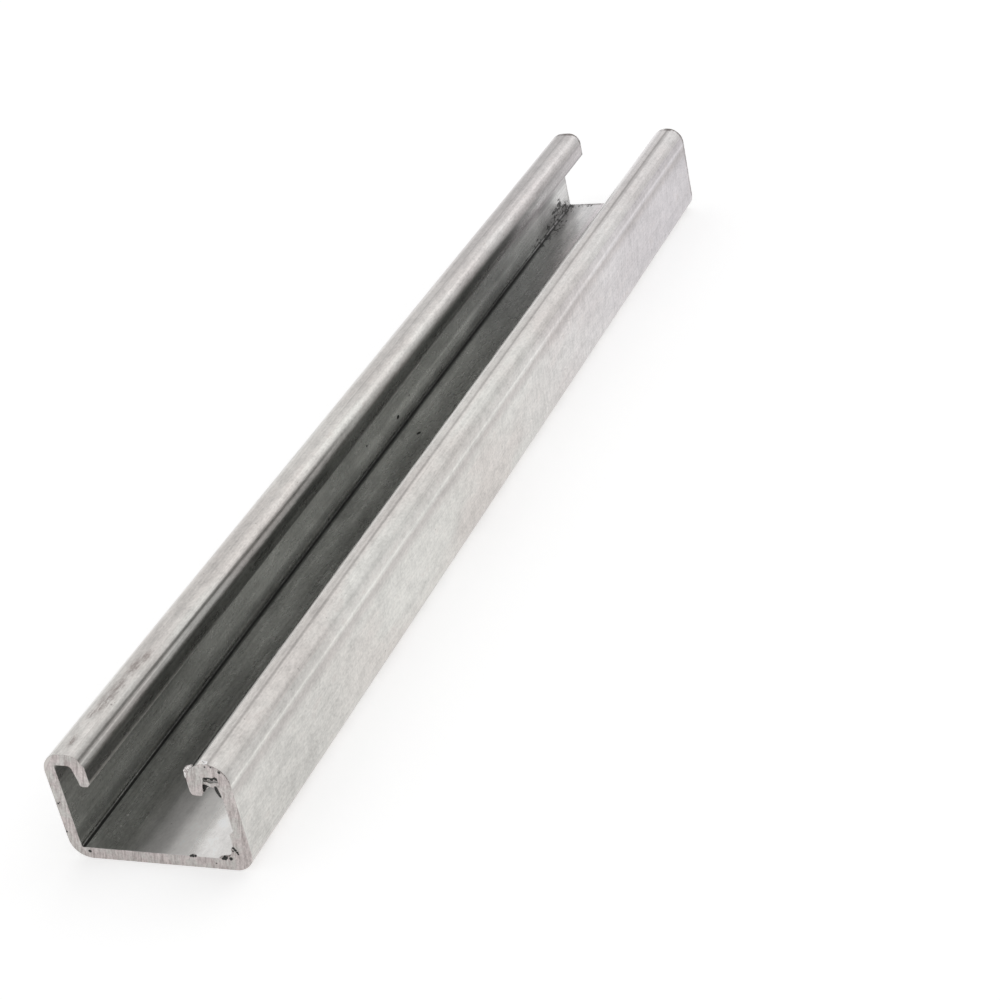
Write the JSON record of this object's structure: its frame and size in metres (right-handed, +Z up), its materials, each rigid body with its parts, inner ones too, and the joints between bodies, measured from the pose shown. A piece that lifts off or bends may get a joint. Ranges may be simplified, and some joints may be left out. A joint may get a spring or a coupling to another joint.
{
  "type": "strut channel",
  "caption": "Length of plain galvanised strut channel: a flat web, two walls and inturned lips that leave a slot along the open side.",
  "frame": {"origin": "middle of the web's underside, halfway along the channel", "axes": "+X along the channel, +Y across it, +Z up from the web and out of the slot; the end that faces the camera in the picture is at -X"},
  "size_m": [0.3048, 0.0412, 0.0254],
  "materials": {
    "galvanised_steel": "mill-galvanised, dull mottled grey with lengthwise roller lines, dirty darker inside, sawn ends left bare"
  },
  "bodies": {
    "root": {"channel": "galvanised_steel"}
  },
  "joints": []
}
